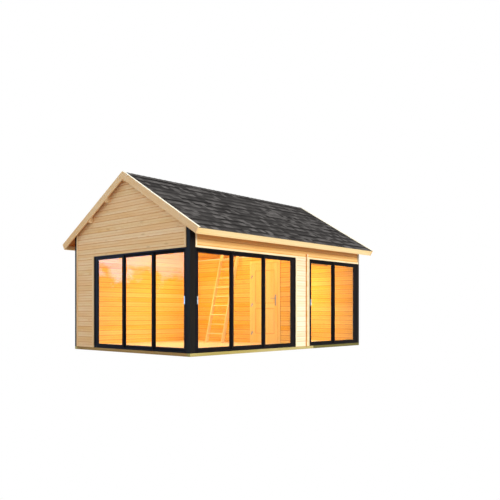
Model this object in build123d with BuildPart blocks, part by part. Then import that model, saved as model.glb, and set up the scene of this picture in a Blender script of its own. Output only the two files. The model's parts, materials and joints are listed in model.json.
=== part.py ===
from build123d import *
import math
import os

os.makedirs("parts", exist_ok=True)

# Millimetres. X runs across the gable, Y along the ridge, Z up from the ground.
# The front gable faces -Y and the glazed long wall faces +X.

# Overall sizes
width = 3978.0
length = 5950.0
wall_top = 2615.0
roof_pitch = 30.7
eaves_overhang = 352.0
gable_overhang = 115.0

# Base and floor
base_height = 64.0
base_beam_width = 90.0
bearer_width = 60.0
front_bearers = 4
back_bearers = 2
floor_thickness = 26.0

# Walls and corner posts
wall_thickness = 44.0
post_width = 85.0
post_depth = 90.0
near_post_width = 110.0
near_post_depth = 134.0
frame_top = 2112.0
left_panel_width = 691.0
pier_before_partition = 393.0
pier_past_partition = 76.0

# Strips over the walls' ends
batten_width = 38.0
wide_batten = 65.0
batten_thickness = 15.0
post_lap = 45.0

# Partition, room door and log ends
partition_y = 680.0
log_end_reach = 38.0
log_end_top = 2220.0
leaf_left = 305.0
leaf_width = 842.0
leaf_top = 2070.0
leaf_thickness = 40.0
panel_side = 110.0
panel_sink = 8.0
field_margin = 42.0
field_rise = 4.0
lower_panel = (330.0, 960.0)
upper_panel = (1080.0, 1900.0)
leaf_gap = 7.0
floor_gap = 8.0
stop_gap = 5.0
lining_thickness = 25.0
casing_width = 40.0
casing_thickness = 16.0
door_stop = 14.0
lever_inset = 75.0
lever_height = 1200.0
lever_reach = 48.0
lever_length = 120.0
lever_radius = 8.0
lock_height = 1100.0
lock_radius = 8.5
lock_reach = 6.0
lever_plate_width = 38.0
lever_plate_thickness = 3.0
lever_plate_ends = (1020.0, 1290.0)
knuckle_radius = 7.0
knuckle_height = 40.0
hinge_reach = 32.0
hinge_plate = 2.0
hinge_heights = (335.0, 1040.0, 1745.0)

# Roof
roof_board = 19.0
shingle = 8.0
cap_thickness = 14.0
cap_reach = 150.0
barge_depth = 135.0
barge_thickness = 28.0
barge_rise = 4.0
barge_cap_width = 60.0
barge_cap_thickness = 10.0
fascia_depth = 125.0
fascia_thickness = 20.0
shingle_drip = 4.0
purlin_width = 58.0
purlin_depth = 145.0
purlin_spacing = 640.0

# Sliding glass walls
frame_face = 36.0
frame_web = 14.0
lip = 4.0
track_gap = 5.0
sash_thickness = 26.0
sash_edge_gap = 5.0
sash_lift = 12.0
rib_width = 5.0
rib_height = 6.0
running_gap = 0.3
meeting_stile = 51.0
handle_stile = 120.0
far_stile = 132.0
top_rail = 49.0
bottom_rail = 54.0
glass_thickness = 14.0
bead_width = 9.0
bead_thickness = 4.0
wide_overlap = 41.0
narrow_overlap = 21.0
roller_radius = 12.0
roller_width = 8.0
roller_inset = 110.0
handle_width = 28.0
handle_height = 160.0
handle_bottom = 1010.0
handle_reach = 12.0
handle_edge = 3.0
handle_stop = 15.0
handle_round = 3.0
handle_slot_margin = 8.0
handle_slot_ends = 30.0
handle_slot_depth = 4.0

# Loft and ladder
loft_underside = 2105.0
joist_depth = 145.0
joist_width = 45.0
joist_count = 6
joist_margin = 300.0
deck_thickness = 28.0
deck_nosing = 20.0
ladder_left = -740.0
ladder_width = 600.0
ladder_lean = 76.0
ladder_top = 2450.0
stringer_depth = 90.0
stringer_thickness = 28.0
tread_depth = 80.0
tread_thickness = 22.0
tread_rise = 238.0
tread_count = 9
tread_housing = 8.0
stringer_round = 20.0

# Worked out from the sizes above
half_width = width / 2
half_length = length / 2
rise = math.tan(math.radians(roof_pitch))
sin_pitch = math.sin(math.radians(roof_pitch))
cos_pitch = math.cos(math.radians(roof_pitch))
inner_x = half_width - wall_thickness
inner_y = half_length - wall_thickness
floor_top = base_height + floor_thickness
ridge_underside = wall_top + half_width * rise
shingle_top = roof_board + shingle
barge_top = shingle_top + barge_rise
barge_cap_top = barge_top + barge_cap_thickness
barge_cap_lap = barge_cap_width - barge_thickness
slope_run = (half_width + eaves_overhang - barge_cap_top * sin_pitch) / cos_pitch
roof_half_length = half_length + gable_overhang - barge_thickness
partition_back = partition_y + wall_thickness
pier_start = partition_y - pier_before_partition
pier_end = partition_back + pier_past_partition
gable_slider_far = post_width + left_panel_width - half_width
deck_underside = loft_underside + joist_depth
deck_top = deck_underside + deck_thickness


def keep(piece, name):
    """Labels a finished piece and writes it."""
    piece.part.label = name
    export_step(piece.part, f"parts/{name}.step")


def box(x0, x1, y0, y1, z0, z1, mode=Mode.ADD):
    """A square-edged board between two corners, inside the part being built."""
    with Locations(((x0 + x1) / 2, (y0 + y1) / 2, (z0 + z1) / 2)):
        Box(x1 - x0, y1 - y0, z1 - z0, mode=mode)


def board(name, x0, x1, y0, y1, z0, z1):
    """A piece that is one plain board."""
    with BuildPart() as piece:
        box(x0, x1, y0, y1, z0, z1)
    keep(piece, name)


def underside(x):
    """Height of the underside of the roof boards at x."""
    return ridge_underside - abs(x) * rise


def slope_point(side, along, out):
    """A point of the roof's section: along the slope from the ridge, and out from the boards' underside."""
    x = along * cos_pitch + out * sin_pitch
    return side * x, ridge_underside - along * sin_pitch + out * cos_pitch


def slope_layer(side, low, high, end):
    """Outline of one roof layer, cut plumb at the ridge and square at the eaves."""
    return [
        (0, ridge_underside + low / cos_pitch),
        (0, ridge_underside + high / cos_pitch),
        slope_point(side, end, high),
        slope_point(side, end, low),
    ]


def extrude_outline(points, y0, y1, mode=Mode.ADD):
    """A section in the XZ plane, run from y0 to y1, inside the part being built."""
    with BuildSketch(Plane.XZ.offset(-y0)) as section:
        with BuildLine():
            Polyline(*points, close=True)
        make_face()
    extrude(section.sketch, amount=-(y1 - y0), mode=mode)


def under_roof(x0, x1, y0, y1, z0):
    """Wall or post from z0 up to the roof boards, with its top cut to their slope."""
    points = [(x0, z0), (x1, z0), (x1, underside(x1))]
    if x0 < 0 < x1:
        points.append((0, underside(0)))
    points.append((x0, underside(x0)))
    extrude_outline(points, y0, y1)


def purlin_places():
    """X of each purlin's middle, left to right."""
    return [place * purlin_spacing for place in (-2, -1, 0, 1, 2)]


def purlin_outline(middle):
    """Section of one purlin, with its top bevelled to the roof boards."""
    left = middle - purlin_width / 2
    right = middle + purlin_width / 2
    foot = min(underside(left), underside(right)) - purlin_depth
    points = [(left, foot), (right, foot), (right, underside(right))]
    if left < 0 < right:
        points.append((0, underside(0)))
    points.append((left, underside(left)))
    return points


def notch_purlins(y0, y1):
    """Cuts the purlins' seats out of a gable wall."""
    for middle in purlin_places():
        extrude_outline(purlin_outline(middle), y0, y1, Mode.SUBTRACT)


def foundation():
    """Beams on the ground: two long ones, and the ends and bearers between them."""
    inside = half_width - base_beam_width
    with BuildPart() as side_beams:
        for side in (-1, 1):
            edges = sorted((side * inside, side * half_width))
            box(edges[0], edges[1], -half_length, half_length, 0, base_height)
    keep(side_beams, "foundation_side_beams")

    with BuildPart() as cross_beams:
        box(-inside, inside, -half_length, base_beam_width - half_length, 0, base_height)
        box(-inside, inside, half_length - base_beam_width, half_length, 0, base_height)
        end_beam = half_length - base_beam_width / 2
        under_partition = partition_y + wall_thickness / 2
        middles = [under_partition]
        for start, end, count in ((-end_beam, under_partition, front_bearers), (under_partition, end_beam, back_bearers)):
            step = (end - start) / (count + 1)
            middles += [start + step * (index + 1) for index in range(count)]
        for middle in middles:
            box(-inside, inside, middle - bearer_width / 2, middle + bearer_width / 2, 0, base_height)
    keep(cross_beams, "foundation_cross_beams")


def floor():
    """Floor boards of the two rooms, cut round the posts and the sliders' sills."""
    big_sill = slider_depth(3)
    small_sill = slider_depth(2)
    with BuildPart() as boards:
        box(-inner_x, inner_x, -inner_y, partition_y, base_height, floor_top)
        box(-inner_x, inner_x, partition_back, inner_y, base_height, floor_top)
        sill_back = big_sill - half_length
        box(gable_slider_far, half_width, -half_length, sill_back, base_height, floor_top, Mode.SUBTRACT)
        sill_side = half_width - big_sill
        box(sill_side, half_width, -half_length, pier_start, base_height, floor_top, Mode.SUBTRACT)
        sill_side = half_width - small_sill
        box(sill_side, half_width, pier_end, half_length, base_height, floor_top, Mode.SUBTRACT)
        post_x = half_width - post_width
        post_y = half_length - post_depth
        for x0, x1 in ((-half_width, -post_x), (post_x, half_width)):
            box(x0, x1, post_y, half_length, base_height, floor_top, Mode.SUBTRACT)
        box(-half_width, -post_x, -half_length, -post_y, base_height, floor_top, Mode.SUBTRACT)
        near_x = half_width - near_post_width
        near_y = near_post_depth - half_length
        box(near_x, half_width, -half_length, near_y, base_height, floor_top, Mode.SUBTRACT)
    keep(boards, "floor_boards")


def corner_posts():
    """Dark posts from the base beams to the roof boards."""
    near_x = half_width - near_post_width
    post_x = half_width - post_width
    post_y = half_length - post_depth
    with BuildPart() as near_post:
        under_roof(near_x, half_width, -half_length, near_post_depth - half_length, base_height)
    keep(near_post, "corner_post_front_right")

    with BuildPart() as left_post:
        under_roof(-half_width, -post_x, -half_length, -post_y, base_height)
    keep(left_post, "corner_post_front_left")

    with BuildPart() as back_posts:
        under_roof(-half_width, -post_x, post_y, half_length, base_height)
        under_roof(post_x, half_width, post_y, half_length, base_height)
    keep(back_posts, "corner_posts_back")


def outer_walls():
    """Log walls between the posts, split where the sliding glass walls stand."""
    post_x = half_width - post_width
    post_y = half_length - post_depth
    gable_end = half_width - near_post_width
    board("front_left_wall", -post_x, gable_slider_far, -half_length, -inner_y, base_height, frame_top)

    with BuildPart() as front_gable:
        under_roof(-post_x, gable_end, -half_length, -inner_y, frame_top)
        notch_purlins(-half_length, -inner_y)
    keep(front_gable, "front_gable_wall")

    with BuildPart() as back_wall:
        under_roof(-post_x, post_x, inner_y, half_length, base_height)
        notch_purlins(inner_y, half_length)
    keep(back_wall, "back_wall")

    with BuildPart() as left_wall:
        under_roof(-half_width, -inner_x, -post_y, post_y, base_height)
    keep(left_wall, "left_wall")

    with BuildPart() as header:
        under_roof(inner_x, half_width, near_post_depth - half_length, post_y, frame_top)
    keep(header, "right_header_wall")

    board("right_pier_wall", inner_x, half_width, pier_start, pier_end, base_height, frame_top)


def partition():
    """Log wall between the rooms, with its ends showing outside both long walls."""
    opening_left = leaf_left - leaf_gap - lining_thickness
    opening_right = leaf_left + leaf_width + leaf_gap + lining_thickness
    opening_top = leaf_top + leaf_gap + lining_thickness
    board(
        "partition_left_wall", -inner_x, opening_left,
        partition_y, partition_back, base_height, deck_underside,
    )
    board(
        "partition_right_wall", opening_right, inner_x,
        partition_y, partition_back, base_height, deck_underside,
    )
    board(
        "partition_over_door", opening_left, opening_right,
        partition_y, partition_back, opening_top, deck_underside,
    )
    with BuildPart() as log_ends:
        for side in (-1, 1):
            edges = sorted((side * half_width, side * (half_width + log_end_reach)))
            box(edges[0], edges[1], partition_y, partition_back, base_height, log_end_top)
    keep(log_ends, "partition_log_ends")


def battens():
    """Light strips that cover the log walls' ends and the header's foot."""
    near_end = near_post_depth - half_length
    post_x = half_width - post_width
    post_y = half_length - post_depth
    foot_end = post_y + post_lap
    header_foot = frame_top + batten_width
    gable_face = -half_length - batten_thickness
    side_face = half_width + batten_thickness
    narrow = batten_width
    gable_end = half_width - near_post_width
    with BuildPart() as strips:
        # Front gable: by the left post, beside the slider, and over it by the near post
        under_roof(-post_x, narrow - post_x, gable_face, -half_length, base_height)
        box(
            gable_slider_far - wide_batten, gable_slider_far,
            gable_face, -half_length, base_height, frame_top,
        )
        under_roof(gable_end - narrow, gable_end, gable_face, -half_length, frame_top)

        # Glazed long wall: foot of the header, its two ends, and the pier's two edges
        for y0, y1 in ((near_end, partition_y), (partition_back, foot_end)):
            box(half_width, side_face, y0, y1, frame_top, header_foot)
        under_roof(half_width, side_face, near_end, near_end + narrow, header_foot)
        under_roof(half_width, side_face, foot_end - narrow, foot_end, header_foot)
        for y0, y1 in ((pier_start, pier_start + narrow), (pier_end - narrow, pier_end)):
            box(half_width, side_face, y0, y1, base_height, frame_top)

        # Hidden long wall and back gable: one strip by each post
        for y0, y1 in ((-post_y, narrow - post_y), (post_y - narrow, post_y)):
            under_roof(-side_face, -half_width, y0, y1, base_height)
        for x0, x1 in ((-post_x, narrow - post_x), (post_x - narrow, post_x)):
            under_roof(x0, x1, half_length, half_length + batten_thickness, base_height)
    keep(strips, "wall_battens")


def roof():
    """Purlins, boards, shingles and ridge cap."""
    with BuildPart() as side_purlins:
        for middle in purlin_places():
            if middle != 0:
                extrude_outline(purlin_outline(middle), -roof_half_length, roof_half_length)
    keep(side_purlins, "side_purlins")

    with BuildPart() as ridge_purlin:
        extrude_outline(purlin_outline(0), -roof_half_length, roof_half_length)
    keep(ridge_purlin, "ridge_purlin")

    for side, word in ((-1, "left"), (1, "right")):
        with BuildPart() as boards:
            outline = slope_layer(side, 0, roof_board, slope_run - fascia_thickness)
            extrude_outline(outline, -roof_half_length, roof_half_length)
        keep(boards, f"roof_boards_{word}")

        with BuildPart() as shingles:
            outline = slope_layer(side, roof_board, shingle_top, slope_run + shingle_drip)
            extrude_outline(outline, -roof_half_length, roof_half_length)
        keep(shingles, f"shingles_{word}")

    cap_half_length = roof_half_length - barge_cap_lap
    with BuildPart() as cap:
        for side in (-1, 1):
            outline = slope_layer(side, shingle_top, shingle_top + cap_thickness, cap_reach)
            extrude_outline(outline, -cap_half_length, cap_half_length)
    keep(cap, "ridge_cap")


def roof_trim():
    """Bargeboards with capping strips on both gables, and fascias along both eaves."""
    for way, end in ((-1, "front"), (1, "back")):
        inner = way * roof_half_length
        outer = way * (roof_half_length + barge_thickness)
        cap_inner = way * (roof_half_length - barge_cap_lap)
        board_y = sorted((inner, outer))
        cap_y = sorted((cap_inner, outer))
        for side, word in ((-1, "left"), (1, "right")):
            with BuildPart() as bargeboard:
                outline = slope_layer(side, barge_top - barge_depth, barge_top, slope_run)
                extrude_outline(outline, board_y[0], board_y[1])
                outline = slope_layer(side, barge_top, barge_cap_top, slope_run)
                extrude_outline(outline, cap_y[0], cap_y[1])
            keep(bargeboard, f"bargeboard_{end}_{word}")

    with BuildPart() as fascias:
        for side in (-1, 1):
            outline = [
                slope_point(side, slope_run - fascia_thickness, roof_board),
                slope_point(side, slope_run, roof_board),
                slope_point(side, slope_run, roof_board - fascia_depth),
                slope_point(side, slope_run - fascia_thickness, roof_board - fascia_depth),
            ]
            extrude_outline(outline, -roof_half_length, roof_half_length)
    keep(fascias, "eaves_fascias")


def slider_depth(tracks):
    """Depth of a slider's outer frame for its number of tracks."""
    return 2 * lip + (tracks + 1) * track_gap + tracks * sash_thickness


class Slider:
    """One sliding glass wall, measured from its closing jamb to its far jamb."""

    def __init__(self, name, plane, closing, far, tracks, overlap):
        self.name = name
        self.plane = plane
        self.closing = closing
        self.far = far
        self.tracks = tracks
        self.way = 1 if far > closing else -1
        self.overlap = overlap
        clear = abs(far - closing) - 2 * frame_web - sash_edge_gap
        stiles = handle_stile + far_stile + 2 * (tracks - 1) * meeting_stile
        self.glass = (clear - stiles + (tracks - 1) * overlap) / tracks

    def place(self, distance):
        """Position along the wall at a distance from the closing jamb's outer edge."""
        return self.closing + self.way * distance

    def sheet(self, depth, thickness, a0, a1, z0, z1, mode=Mode.ADD):
        """A block set behind the wall's outer face, inside the part being built."""
        middle = self.place((a0 + a1) / 2)
        with BuildSketch(self.plane.offset(-depth)) as face:
            with Locations((middle, (z0 + z1) / 2)):
                Rectangle(a1 - a0, z1 - z0)
        extrude(face.sketch, amount=-thickness, mode=mode)

    def sash_depth(self, index):
        """Depth of a sash's outer face. Sash 0 closes against the jamb, on the innermost track."""
        track = self.tracks - 1 - index
        return lip + track_gap + track * (sash_thickness + track_gap)

    def stiles(self, index):
        """Widths of a sash's stile nearest the closing jamb and of its other one."""
        near = handle_stile if index == 0 else meeting_stile
        far = far_stile if index == self.tracks - 1 else meeting_stile
        return near, far

    def sash_start(self, index):
        """Distance of a sash's near edge from the closing jamb."""
        start = frame_web + sash_edge_gap
        for earlier in range(index):
            near, far = self.stiles(earlier)
            start += near + self.glass + far - self.overlap
        return start

    def sash_width(self, index):
        """Full width of a sash."""
        near, far = self.stiles(index)
        return near + self.glass + far

    def travel(self):
        """How far the closing sash slides past its neighbour before its handle would meet it."""
        return self.sash_start(1) - self.sash_start(0) - handle_stile - handle_stop

    def outer_frame(self):
        """Frame of four channels, with a running rib on its sill and head for each sash."""
        span = abs(self.far - self.closing)
        depth = slider_depth(self.tracks)
        with BuildPart() as frame:
            self.sheet(0, depth, 0, span, base_height, frame_top)
            web = frame_web
            self.sheet(
                lip, depth - 2 * lip, web, span - web,
                base_height + web, frame_top - web, Mode.SUBTRACT,
            )
            self.sheet(
                0, depth, frame_face, span - frame_face,
                base_height + frame_face, frame_top - frame_face, Mode.SUBTRACT,
            )
            for index in range(self.tracks):
                rib_depth = self.sash_depth(index) + (sash_thickness - rib_width) / 2
                sill = base_height + web
                head = frame_top - web
                self.sheet(rib_depth, rib_width, web, span - web, sill, sill + rib_height)
                self.sheet(rib_depth, rib_width, web, span - web, head - rib_height, head)
        keep(frame, f"{self.name}_slider_frame")

    def sash_frame(self, index):
        """Stiles and rails round one pane, standing on two rollers."""
        near, far = self.stiles(index)
        start = self.sash_start(index)
        end = start + self.sash_width(index)
        foot = base_height + frame_web + sash_lift
        head = frame_top - frame_web - sash_lift
        depth = self.sash_depth(index)
        self.sheet(depth, sash_thickness, start, end, foot, head)
        self.sheet(
            depth, sash_thickness, start + near, end - far,
            foot + bottom_rail, head - top_rail, Mode.SUBTRACT,
        )
        outer_bead = depth + (sash_thickness - glass_thickness) / 2 - bead_thickness
        inner_bead = depth + (sash_thickness + glass_thickness) / 2
        for bead in (outer_bead, inner_bead):
            self.sheet(bead, bead_thickness, start + near, end - far, foot + bottom_rail, head - top_rail)
            self.sheet(
                bead, bead_thickness, start + near + bead_width, end - far - bead_width,
                foot + bottom_rail + bead_width, head - top_rail - bead_width, Mode.SUBTRACT,
            )
        rail_top = base_height + frame_web + rib_height
        roller_middle = rail_top + running_gap + roller_radius
        inset = roller_inset
        with BuildSketch(self.plane.offset(-(depth + (sash_thickness - roller_width) / 2))) as rollers:
            for distance in (start + inset, end - inset):
                with Locations((self.place(distance), roller_middle)):
                    Circle(roller_radius)
        extrude(rollers.sketch, amount=-roller_width)

    def sash_glass(self, index):
        """Sealed pane between the stiles and rails."""
        near, far = self.stiles(index)
        start = self.sash_start(index)
        end = start + self.sash_width(index)
        foot = base_height + frame_web + sash_lift
        head = frame_top - frame_web - sash_lift
        depth = self.sash_depth(index) + (sash_thickness - glass_thickness) / 2
        self.sheet(
            depth, glass_thickness, start + near, end - far,
            foot + bottom_rail, head - top_rail,
        )

    def handle(self):
        """Pull plates on both faces of the closing sash, at the glass edge of its stile."""
        edge = self.sash_start(0) + handle_stile - handle_edge
        depth = self.sash_depth(0)
        start = edge - handle_width
        top = handle_bottom + handle_height
        outside = depth - handle_reach
        inside = depth + sash_thickness
        with BuildPart() as plates:
            for face in (outside, inside):
                self.sheet(face, handle_reach, start, edge, handle_bottom, top)
            ends = plates.faces().sort_by(Axis((0, 0, 0), tuple(self.plane.z_dir)))
            fillet(ends[0].edges() + ends[-1].edges(), radius=handle_round)
            for face in (outside, inside + handle_reach - handle_slot_depth):
                self.sheet(
                    face, handle_slot_depth, start + handle_slot_margin, edge - handle_slot_margin,
                    handle_bottom + handle_slot_ends, top - handle_slot_ends, Mode.SUBTRACT,
                )
        keep(plates, f"{self.name}_slider_handle")


def sliders():
    """The three sliding glass walls and their panels."""
    gable_plane = Plane(origin=(0, -half_length, 0), x_dir=(1, 0, 0), z_dir=(0, -1, 0))
    side_plane = Plane(origin=(half_width, 0, 0), x_dir=(0, 1, 0), z_dir=(1, 0, 0))
    gable_closing = half_width - near_post_width
    side_closing = near_post_depth - half_length
    back_far = half_length - post_depth
    walls = [
        Slider("gable", gable_plane, gable_closing, gable_slider_far, 3, wide_overlap),
        Slider("side", side_plane, side_closing, pier_start, 3, wide_overlap),
        Slider("back_room", side_plane, pier_end, back_far, 2, narrow_overlap),
    ]
    for wall in walls:
        wall.outer_frame()
        names = ["leading", "middle"][: wall.tracks - 1]
        for index, word in enumerate(names):
            with BuildPart() as sash:
                wall.sash_frame(index)
            keep(sash, f"{wall.name}_{word}_sash")
            with BuildPart() as glass:
                wall.sash_glass(index)
            keep(glass, f"{wall.name}_{word}_glass")
        wall.handle()
        print(wall.name, "travel", round(wall.travel(), 1), "glass", round(wall.glass, 1))

    with BuildPart() as fixed_sashes:
        for wall in walls:
            wall.sash_frame(wall.tracks - 1)
    keep(fixed_sashes, "fixed_sashes")
    with BuildPart() as fixed_glass:
        for wall in walls:
            wall.sash_glass(wall.tracks - 1)
    keep(fixed_glass, "fixed_glass")


def room_door():
    """Door between the rooms, opening into the front room on three lift-off hinges."""
    casing_face = partition_y - casing_thickness
    leaf_right = leaf_left + leaf_width
    leaf_foot = floor_top + floor_gap
    inner_left = leaf_left - leaf_gap
    inner_right = leaf_right + leaf_gap
    inner_top = leaf_top + leaf_gap
    outer = lining_thickness + casing_width
    leaf_back = casing_face + leaf_thickness
    with BuildPart() as frame:
        box(
            inner_left - lining_thickness, inner_right + lining_thickness,
            casing_face, partition_back, floor_top, inner_top + lining_thickness,
        )
        box(inner_left - outer, inner_right + outer, casing_face, partition_y, floor_top, inner_top + outer)
        box(
            inner_left + door_stop, inner_right - door_stop,
            casing_face, partition_back, floor_top, inner_top - door_stop, Mode.SUBTRACT,
        )
        box(
            inner_left, inner_right,
            casing_face, leaf_back + stop_gap, floor_top, inner_top, Mode.SUBTRACT,
        )
    keep(frame, "room_door_frame")

    # Two sunk panels with raised fields on each face
    with BuildPart() as leaf:
        box(leaf_left, leaf_right, casing_face, leaf_back, leaf_foot, leaf_top)
        for z0, z1 in (lower_panel, upper_panel):
            for face, way in ((casing_face, 1), (leaf_back, -1)):
                y0, y1 = sorted((face, face + way * panel_sink))
                box(leaf_left + panel_side, leaf_right - panel_side, y0, y1, z0, z1, Mode.SUBTRACT)
                y0, y1 = sorted((face + way * panel_sink, face + way * (panel_sink - field_rise)))
                inset = panel_side + field_margin
                box(leaf_left + inset, leaf_right - inset, y0, y1, z0 + field_margin, z1 - field_margin)
    keep(leaf, "room_door_leaf")

    # Lever handles on long plates, each with a round lock below
    lever_x = leaf_right - lever_inset
    with BuildPart() as handles:
        for face, way in ((casing_face, -1), (leaf_back, 1)):
            y0, y1 = sorted((face, face + way * lever_plate_thickness))
            half_plate = lever_plate_width / 2
            box(lever_x - half_plate, lever_x + half_plate, y0, y1, lever_plate_ends[0], lever_plate_ends[1])
            lever_y = face + way * (lever_reach - lever_radius)
            with BuildSketch(Plane(origin=(lever_x, face, lever_height), z_dir=(0, way, 0))):
                Circle(lever_radius)
            extrude(amount=lever_reach - lever_radius)
            with BuildSketch(Plane(origin=(lever_x, lever_y, lever_height), z_dir=(-1, 0, 0))):
                Circle(lever_radius)
            extrude(amount=lever_length)
            with Locations((lever_x, lever_y, lever_height), (lever_x - lever_length, lever_y, lever_height)):
                Sphere(lever_radius)
            with BuildSketch(Plane(origin=(lever_x, face, lock_height), z_dir=(0, way, 0))):
                Circle(lock_radius)
            extrude(amount=lock_reach)
    keep(handles, "room_door_handles")

    # Lift-off hinges: the lower knuckle stands on the frame, the upper one hangs on the leaf
    axis_x = leaf_left - leaf_gap / 2
    axis_y = casing_face - knuckle_radius - 1.0
    for node, side, low in (("door_hinges_lower", -1, -knuckle_height), ("door_hinges_upper", 1, running_gap)):
        with BuildPart() as hinges:
            for height in hinge_heights:
                with BuildSketch(Plane(origin=(axis_x, axis_y, height + low))):
                    Circle(knuckle_radius)
                extrude(amount=knuckle_height)
                x0, x1 = sorted((axis_x, axis_x + side * hinge_reach))
                z0 = height + low
                box(x0, x1, casing_face - hinge_plate, casing_face, z0, z0 + knuckle_height)
        keep(hinges, node)
    print("door axis", axis_x, axis_y)


def loft():
    """Joists and deck over the back room."""
    with BuildPart() as joists:
        first = -inner_x + joist_margin
        step = 2 * (inner_x - joist_margin) / (joist_count - 1)
        for index in range(joist_count):
            middle = first + step * index
            box(
                middle - joist_width / 2, middle + joist_width / 2,
                partition_back, inner_y, loft_underside, deck_underside,
            )
    keep(joists, "loft_joists")

    post_x = half_width - post_width
    post_y = half_length - post_depth
    with BuildPart() as deck:
        box(-inner_x, inner_x, partition_y - deck_nosing, inner_y, deck_underside, deck_top)
        for x0, x1 in ((-half_width, -post_x), (post_x, half_width)):
            box(x0, x1, post_y, half_length, deck_underside, deck_top, Mode.SUBTRACT)
    keep(deck, "loft_deck")


def ladder():
    """Ladder leaning on the loft's edge, with flat treads between its stringers."""
    lean = math.tan(math.radians(ladder_lean))
    back_foot = partition_y - deck_nosing - running_gap - (deck_top - floor_top) / lean
    depth = stringer_depth / math.sin(math.radians(ladder_lean))
    top_shift = (ladder_top - floor_top) / lean
    outline = [
        (back_foot - depth, floor_top),
        (back_foot, floor_top),
        (back_foot + top_shift, ladder_top),
        (back_foot + top_shift - depth, ladder_top),
    ]
    ladder_right = ladder_left + ladder_width

    def tread_boxes(mode):
        """All the treads, each let into both stringers."""
        for step in range(1, tread_count + 1):
            top = floor_top + step * tread_rise
            middle = back_foot - depth / 2 + (top - floor_top) / lean
            inset = stringer_thickness - tread_housing
            box(
                ladder_left + inset, ladder_right - inset,
                middle - tread_depth / 2, middle + tread_depth / 2, top - tread_thickness, top, mode,
            )

    with BuildPart() as stringers:
        for x in (ladder_left, ladder_right - stringer_thickness):
            with BuildSketch(Plane.YZ.offset(x)):
                with BuildLine():
                    Polyline(*outline, close=True)
                make_face()
            extrude(amount=stringer_thickness)
        heads = stringers.faces().sort_by(Axis.Z)[-2:]
        fillet(heads.edges().filter_by(Axis.X), radius=stringer_round)
        tread_boxes(Mode.SUBTRACT)
    keep(stringers, "ladder_stringers")

    with BuildPart() as treads:
        tread_boxes(Mode.ADD)
    keep(treads, "ladder_treads")


foundation()
floor()
corner_posts()
outer_walls()
partition()
battens()
roof()
roof_trim()
sliders()
room_door()
loft()
ladder()
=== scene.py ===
import json
import math
import random

import bmesh
import bpy
import numpy as np
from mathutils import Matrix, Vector

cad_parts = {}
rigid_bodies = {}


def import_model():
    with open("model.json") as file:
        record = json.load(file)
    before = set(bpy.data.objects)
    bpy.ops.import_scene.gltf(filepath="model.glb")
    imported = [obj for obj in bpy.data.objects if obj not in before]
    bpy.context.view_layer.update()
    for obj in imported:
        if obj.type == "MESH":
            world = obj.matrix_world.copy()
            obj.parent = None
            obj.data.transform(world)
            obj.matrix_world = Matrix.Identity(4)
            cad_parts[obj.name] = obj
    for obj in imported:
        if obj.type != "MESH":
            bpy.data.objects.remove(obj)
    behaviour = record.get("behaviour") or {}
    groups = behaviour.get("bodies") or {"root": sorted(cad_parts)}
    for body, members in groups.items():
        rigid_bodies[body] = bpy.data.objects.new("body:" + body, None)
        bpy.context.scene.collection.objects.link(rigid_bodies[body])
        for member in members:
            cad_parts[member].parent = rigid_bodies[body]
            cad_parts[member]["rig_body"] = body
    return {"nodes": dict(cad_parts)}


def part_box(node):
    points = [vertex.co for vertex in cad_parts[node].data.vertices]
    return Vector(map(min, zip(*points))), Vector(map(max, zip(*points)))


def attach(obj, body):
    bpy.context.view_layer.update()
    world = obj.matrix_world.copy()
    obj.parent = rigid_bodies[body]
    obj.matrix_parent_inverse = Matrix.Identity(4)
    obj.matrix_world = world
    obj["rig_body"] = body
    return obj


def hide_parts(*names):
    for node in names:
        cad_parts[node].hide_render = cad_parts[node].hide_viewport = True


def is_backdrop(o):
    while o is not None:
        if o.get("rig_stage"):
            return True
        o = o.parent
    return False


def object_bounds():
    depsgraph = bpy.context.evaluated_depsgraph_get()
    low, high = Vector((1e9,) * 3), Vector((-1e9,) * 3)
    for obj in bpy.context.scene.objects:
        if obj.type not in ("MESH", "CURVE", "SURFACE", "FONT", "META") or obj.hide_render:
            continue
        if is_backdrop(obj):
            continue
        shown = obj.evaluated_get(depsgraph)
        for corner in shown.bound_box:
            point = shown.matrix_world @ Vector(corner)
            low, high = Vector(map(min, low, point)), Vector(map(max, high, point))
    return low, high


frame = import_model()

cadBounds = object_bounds()
nodes = frame["nodes"]
dice = random.Random(41)


# Colours are typed as they look on screen, 0 to 255
def tint(red, green, blue):
    channels = []
    for value in (red, green, blue):
        share = value / 255
        channels.append(share / 12.92 if share <= 0.04045 else ((share + 0.055) / 1.055) ** 2.4)
    return (*channels, 1.0)


# Sizes that the new pieces share with the frame, in metres
house = {
    "halfWidth": 1.989,
    "halfLength": 2.975,
    "wallTop": 2.615,
    "baseTop": 0.064,
    "pitchDegrees": 30.7,
    "roofHalfLength": 3.062,
    "wallThickness": 0.044,
    "postWidth": 0.085,
    "postDepth": 0.09,
}
pitch = math.radians(house["pitchDegrees"])
rise = math.tan(pitch)
ridgeUnderside = house["wallTop"] + house["halfWidth"] * rise


def slopePoint(side, along, out, y):
    x = along * math.cos(pitch) + out * math.sin(pitch)
    return Vector((side * x, y, ridgeUnderside - along * math.sin(pitch) + out * math.cos(pitch)))


# Grain: the way it runs, and how far from the tree's heart each board is cut
grainAxes = {
    "x": (Vector((1, 0, 0)), Vector((0, 1, 0)), Vector((0, 0, 1))),
    "y": (Vector((0, 1, 0)), Vector((1, 0, 0)), Vector((0, 0, 1))),
    "z": (Vector((0, 0, 1)), Vector((1, 0, 0)), Vector((0, 1, 0))),
}
grainCut = {"along": (0, 40), "across": (-0.12, 0.12), "deep": (0.02, 0.12)}


def grainShift():
    return [dice.uniform(*grainCut[key]) for key in ("along", "across", "deep")]


# Mesh building: every board is a chain of rings, and boards gather in one mesh per piece
def newBuild():
    return {"points": [], "places": [], "tones": [], "grooves": [], "faces": [], "kinds": []}


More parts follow.
